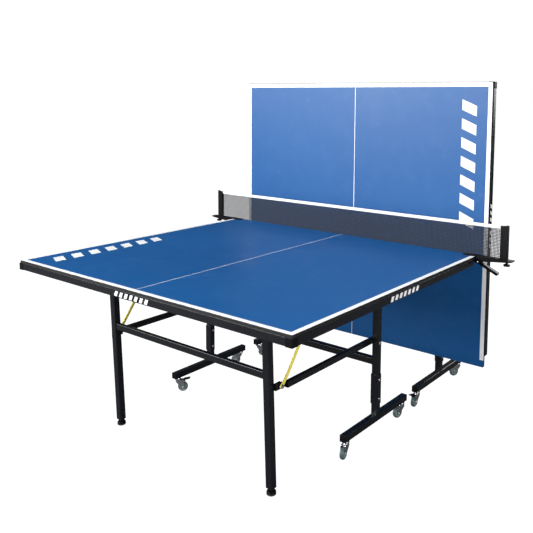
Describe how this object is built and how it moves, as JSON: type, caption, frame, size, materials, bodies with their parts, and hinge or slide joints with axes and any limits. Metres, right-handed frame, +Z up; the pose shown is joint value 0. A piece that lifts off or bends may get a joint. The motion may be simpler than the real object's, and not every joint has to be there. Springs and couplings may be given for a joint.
{
  "type": "table tennis table",
  "caption": "Two-half rollaway table tennis table: the near half flat with a clamped net, the far half folded upright as a rebound wall.",
  "frame": {"origin": "on the floor under the centre of the table's bounding box in the playback position", "axes": "+X across the table to the right, +Y from the near end edge towards the upright far half, +Z up"},
  "size_m": [1.874, 1.7696, 1.5595],
  "materials": {
    "board_blue": "satin blue painted board with white lines",
    "frame_black": "black powder coat, fine texture",
    "plastic_black": "matte moulded",
    "bright_zinc": "bright zinc plate",
    "strut_yellow": "yellow gloss paint",
    "wheel_grey": "grey moulded tyre",
    "net_mesh": "knotless navy mesh",
    "net_tape": "white woven tape"
  },
  "bodies": {
    "near_carriage": {"near_base_beams": "frame_black", "near_columns": "frame_black", "near_sleeves": "frame_black", "near_carriage_bolts": "bright_zinc", "near_end_caps": "plastic_black"},
    "near_top": {"near_board": "board_blue", "near_end_apron": "frame_black", "near_side_aprons": "frame_black", "near_corner_caps": "plastic_black", "near_under_rails": "frame_black", "near_top_brackets": "frame_black", "net_mesh": "net_mesh", "net_tape": "net_tape", "net_posts": "frame_black", "net_clamp_arms": "frame_black"},
    "near_legs": {"near_leg_frame": "frame_black"},
    "near_links": {"near_links": "frame_black"},
    "near_struts": {"near_struts": "strut_yellow"},
    "near_left_foot": {"near_left_foot": "plastic_black"},
    "near_right_foot": {"near_right_foot": "plastic_black"},
    "far_carriage": {"far_base_beams": "frame_black", "far_columns": "frame_black", "far_sleeves": "frame_black", "far_carriage_bolts": "bright_zinc", "far_end_caps": "plastic_black"},
    "far_top": {"far_board": "board_blue", "far_end_apron": "frame_black", "far_side_aprons": "frame_black", "far_corner_caps": "plastic_black", "far_under_rails": "frame_black", "far_top_brackets": "frame_black"},
    "far_legs": {"far_leg_frame": "frame_black"},
    "far_links": {"far_links": "frame_black"},
    "far_struts": {"far_struts": "strut_yellow"},
    "far_left_foot": {"far_left_foot": "plastic_black"},
    "far_right_foot": {"far_right_foot": "plastic_black"},
    "left_clamp_lever": {"left_clamp_lever": "plastic_black"},
    "left_net_knob": {"left_net_knob": "plastic_black"},
    "right_clamp_lever": {"right_clamp_lever": "plastic_black"},
    "right_net_knob": {"right_net_knob": "plastic_black"},
    "near_left_outer_swivel": {"near_left_outer_fork": "bright_zinc"},
    "near_left_outer_wheel": {"near_left_outer_wheel": "wheel_grey"},
    "near_left_outer_pedal": {"near_left_outer_pedal": "plastic_black"},
    "near_left_inner_swivel": {"near_left_inner_fork": "bright_zinc"},
    "near_left_inner_wheel": {"near_left_inner_wheel": "wheel_grey"},
    "near_right_outer_swivel": {"near_right_outer_fork": "bright_zinc"},
    "near_right_outer_wheel": {"near_right_outer_wheel": "wheel_grey"},
    "near_right_inner_swivel": {"near_right_inner_fork": "bright_zinc"},
    "near_right_inner_wheel": {"near_right_inner_wheel": "wheel_grey"},
    "near_right_inner_pedal": {"near_right_inner_pedal": "plastic_black"},
    "far_left_inner_swivel": {"far_left_inner_fork": "bright_zinc"},
    "far_left_inner_wheel": {"far_left_inner_wheel": "wheel_grey"},
    "far_left_inner_pedal": {"far_left_inner_pedal": "plastic_black"},
    "far_left_outer_swivel": {"far_left_outer_fork": "bright_zinc"},
    "far_left_outer_wheel": {"far_left_outer_wheel": "wheel_grey"},
    "far_right_inner_swivel": {"far_right_inner_fork": "bright_zinc"},
    "far_right_inner_wheel": {"far_right_inner_wheel": "wheel_grey"},
    "far_right_inner_pedal": {"far_right_inner_pedal": "plastic_black"},
    "far_right_outer_swivel": {"far_right_outer_fork": "bright_zinc"},
    "far_right_outer_wheel": {"far_right_outer_wheel": "wheel_grey"}
  },
  "joints": [
    {"name": "near_fold", "type": "hinge", "parent": "near_carriage", "child": "near_top", "pos_m": [0, -0.01525, 0.69], "axis": [-1, 0, 0], "range_deg": [0, 90]},
    {"name": "near_leg_fold", "type": "hinge", "parent": "near_top", "child": "near_legs", "pos_m": [0, -0.62125, 0.69], "axis": [1, 0, 0], "range_deg": [0, 90]},
    {"name": "near_link_swing", "type": "hinge", "parent": "near_carriage", "child": "near_links", "pos_m": [0, 0.02075, 0.421], "axis": [-1, 0, 0], "range_deg": [0, 90]},
    {"name": "near_strut_fold", "type": "hinge", "parent": "near_top", "child": "near_struts", "pos_m": [0, -0.36625, 0.705], "axis": [-1, 0, 0], "range_deg": [0, 48.4]},
    {"name": "far_roll", "type": "slide", "parent": "near_carriage", "child": "far_carriage", "axis": [0, 1, 0], "range_m": [0, 0.3401]},
    {"name": "far_fold", "type": "hinge", "parent": "far_carriage", "child": "far_top", "pos_m": [0, 0.66575, 0.69], "axis": [-1, 0, 0], "range_deg": [0, 90]},
    {"name": "far_leg_fold", "type": "hinge", "parent": "far_top", "child": "far_legs", "pos_m": [0, 0.66575, 1.296], "axis": [1, 0, 0], "range_deg": [0, 90]},
    {"name": "far_link_swing", "type": "hinge", "parent": "far_carriage", "child": "far_links", "pos_m": [0, 0.62975, 0.421], "axis": [-1, 0, 0], "range_deg": [0, 90]},
    {"name": "far_strut_fold", "type": "hinge", "parent": "far_top", "child": "far_struts", "pos_m": [0, 0.65075, 1.041], "axis": [-1, 0, 0], "range_deg": [0, 48.4]},
    {"name": "near_left_foot_turn", "type": "hinge", "parent": "near_legs", "child": "near_left_foot", "pos_m": [-0.445, -0.60325, 0.01], "axis": [0, 0, 1], "continuous": true},
    {"name": "near_right_foot_turn", "type": "hinge", "parent": "near_legs", "child": "near_right_foot", "pos_m": [0.445, -0.60325, 0.01], "axis": [0, 0, 1], "continuous": true},
    {"name": "far_left_foot_turn", "type": "hinge", "parent": "far_legs", "child": "far_left_foot", "pos_m": [-0.445, 0.64775, 0.616], "axis": [0, 0, 1], "continuous": true},
    {"name": "far_right_foot_turn", "type": "hinge", "parent": "far_legs", "child": "far_right_foot", "pos_m": [0.445, 0.64775, 0.616], "axis": [0, 0, 1], "continuous": true},
    {"name": "left_clamp_squeeze", "type": "hinge", "parent": "near_top", "child": "left_clamp_lever", "pos_m": [-0.775, 0.4651, 0.735], "axis": [0, 1, 0], "range_deg": [0, 18], "stiffness_Nm_per_rad": 2.5, "springref_deg": -17.19},
    {"name": "left_knob_turn", "type": "hinge", "parent": "near_top", "child": "left_net_knob", "pos_m": [-0.903, 0.48275, 0.74], "axis": [0, 0, 1], "continuous": true},
    {"name": "right_clamp_squeeze", "type": "hinge", "parent": "near_top", "child": "right_clamp_lever", "pos_m": [0.775, 0.4651, 0.735], "axis": [0, -1, 0], "range_deg": [0, 18], "stiffness_Nm_per_rad": 2.5, "springref_deg": -17.19},
    {"name": "right_knob_turn", "type": "hinge", "parent": "near_top", "child": "right_net_knob", "pos_m": [0.903, 0.48275, 0.74], "axis": [0, 0, 1], "continuous": true},
    {"name": "near_left_outer_swivel_turn", "type": "hinge", "parent": "near_carriage", "child": "near_left_outer_swivel", "pos_m": [-0.512, -0.20825, 0.062], "axis": [0, 0, 1], "continuous": true},
    {"name": "near_left_outer_wheel_roll", "type": "hinge", "parent": "near_left_outer_swivel", "child": "near_left_outer_wheel", "pos_m": [-0.49342, -0.19152, 0.025], "axis": [-0.6691, 0.7431, 0], "continuous": true},
    {"name": "near_left_outer_brake_press", "type": "hinge", "parent": "near_left_outer_swivel", "child": "near_left_outer_pedal", "pos_m": [-0.48673, -0.1855, 0.056], "axis": [-0.6691, 0.7431, 0], "range_deg": [0, 12]},
    {"name": "near_left_inner_swivel_turn", "type": "hinge", "parent": "near_carriage", "child": "near_left_inner_swivel", "pos_m": [-0.512, 0.24975, 0.062], "axis": [0, 0, 1], "continuous": true},
    {"name": "near_left_inner_wheel_roll", "type": "hinge", "parent": "near_left_inner_swivel", "child": "near_left_inner_wheel", "pos_m": [-0.53248, 0.23541, 0.025], "axis": [0.5736, -0.8192, 0], "continuous": true},
    {"name": "near_right_outer_swivel_turn", "type": "hinge", "parent": "near_carriage", "child": "near_right_outer_swivel", "pos_m": [0.512, -0.20825, 0.062], "axis": [0, 0, 1], "continuous": true},
    {"name": "near_right_outer_wheel_roll", "type": "hinge", "parent": "near_right_outer_swivel", "child": "near_right_outer_wheel", "pos_m": [0.51634, -0.23287, 0.025], "axis": [0.9848, 0.1736, 0], "continuous": true},
    {"name": "near_right_inner_swivel_turn", "type": "hinge", "parent": "near_carriage", "child": "near_right_inner_swivel", "pos_m": [0.512, 0.24975, 0.062], "axis": [0, 0, 1], "continuous": true},
    {"name": "near_right_inner_wheel_roll", "type": "hinge", "parent": "near_right_inner_swivel", "child": "near_right_inner_wheel", "pos_m": [0.50511, 0.22572, 0.025], "axis": [0.9613, -0.2756, 0], "continuous": true},
    {"name": "near_right_inner_brake_press", "type": "hinge", "parent": "near_right_inner_swivel", "child": "near_right_inner_pedal", "pos_m": [0.50263, 0.21707, 0.056], "axis": [0.9613, -0.2756, 0], "range_deg": [0, 12]},
    {"name": "far_left_inner_swivel_turn", "type": "hinge", "parent": "far_carriage", "child": "far_left_inner_swivel", "pos_m": [-0.512, 0.40075, 0.062], "axis": [0, 0, 1], "continuous": true},
    {"name": "far_left_inner_wheel_roll", "type": "hinge", "parent": "far_left_inner_swivel", "child": "far_left_inner_wheel", "pos_m": [-0.49402, 0.41812, 0.025], "axis": [-0.6947, 0.7193, 0], "continuous": true},
    {"name": "far_left_inner_brake_press", "type": "hinge", "parent": "far_left_inner_swivel", "child": "far_left_inner_pedal", "pos_m": [-0.48754, 0.42437, 0.056], "axis": [-0.6947, 0.7193, 0], "range_deg": [0, 12]},
    {"name": "far_left_outer_swivel_turn", "type": "hinge", "parent": "far_carriage", "child": "far_left_outer_swivel", "pos_m": [-0.512, 0.85875, 0.062], "axis": [0, 0, 1], "continuous": true},
    {"name": "far_left_outer_wheel_roll", "type": "hinge", "parent": "far_left_outer_swivel", "child": "far_left_outer_wheel", "pos_m": [-0.4995, 0.8371, 0.025], "axis": [0.866, 0.5, 0], "continuous": true},
    {"name": "far_right_inner_swivel_turn", "type": "hinge", "parent": "far_carriage", "child": "far_right_inner_swivel", "pos_m": [0.512, 0.40075, 0.062], "axis": [0, 0, 1], "continuous": true},
    {"name": "far_right_inner_wheel_roll", "type": "hinge", "parent": "far_right_inner_swivel", "child": "far_right_inner_wheel", "pos_m": [0.512, 0.37575, 0.025], "axis": [1, 0, 0], "continuous": true},
    {"name": "far_right_inner_brake_press", "type": "hinge", "parent": "far_right_inner_swivel", "child": "far_right_inner_pedal", "pos_m": [0.512, 0.36675, 0.056], "axis": [1, 0, 0], "range_deg": [0, 12]},
    {"name": "far_right_outer_swivel_turn", "type": "hinge", "parent": "far_carriage", "child": "far_right_outer_swivel", "pos_m": [0.512, 0.85875, 0.062], "axis": [0, 0, 1], "continuous": true},
    {"name": "far_right_outer_wheel_roll", "type": "hinge", "parent": "far_right_outer_swivel", "child": "far_right_outer_wheel", "pos_m": [0.4995, 0.8371, 0.025], "axis": [0.866, -0.5, 0], "continuous": true}
  ],
  "couplings": [
    {"joint": "near_leg_fold", "follows": "near_fold", "ratio": 1},
    {"joint": "near_link_swing", "follows": "near_fold", "ratio": 1},
    {"joint": "near_strut_fold", "follows": "near_fold", "ratio": 0.53778},
    {"joint": "far_leg_fold", "follows": "far_fold", "ratio": 1},
    {"joint": "far_link_swing", "follows": "far_fold", "ratio": 1},
    {"joint": "far_strut_fold", "follows": "far_fold", "ratio": 0.53778},
    {"joint": "far_roll", "follows": "far_fold", "m_per_rad": 0.21645}
  ]
}
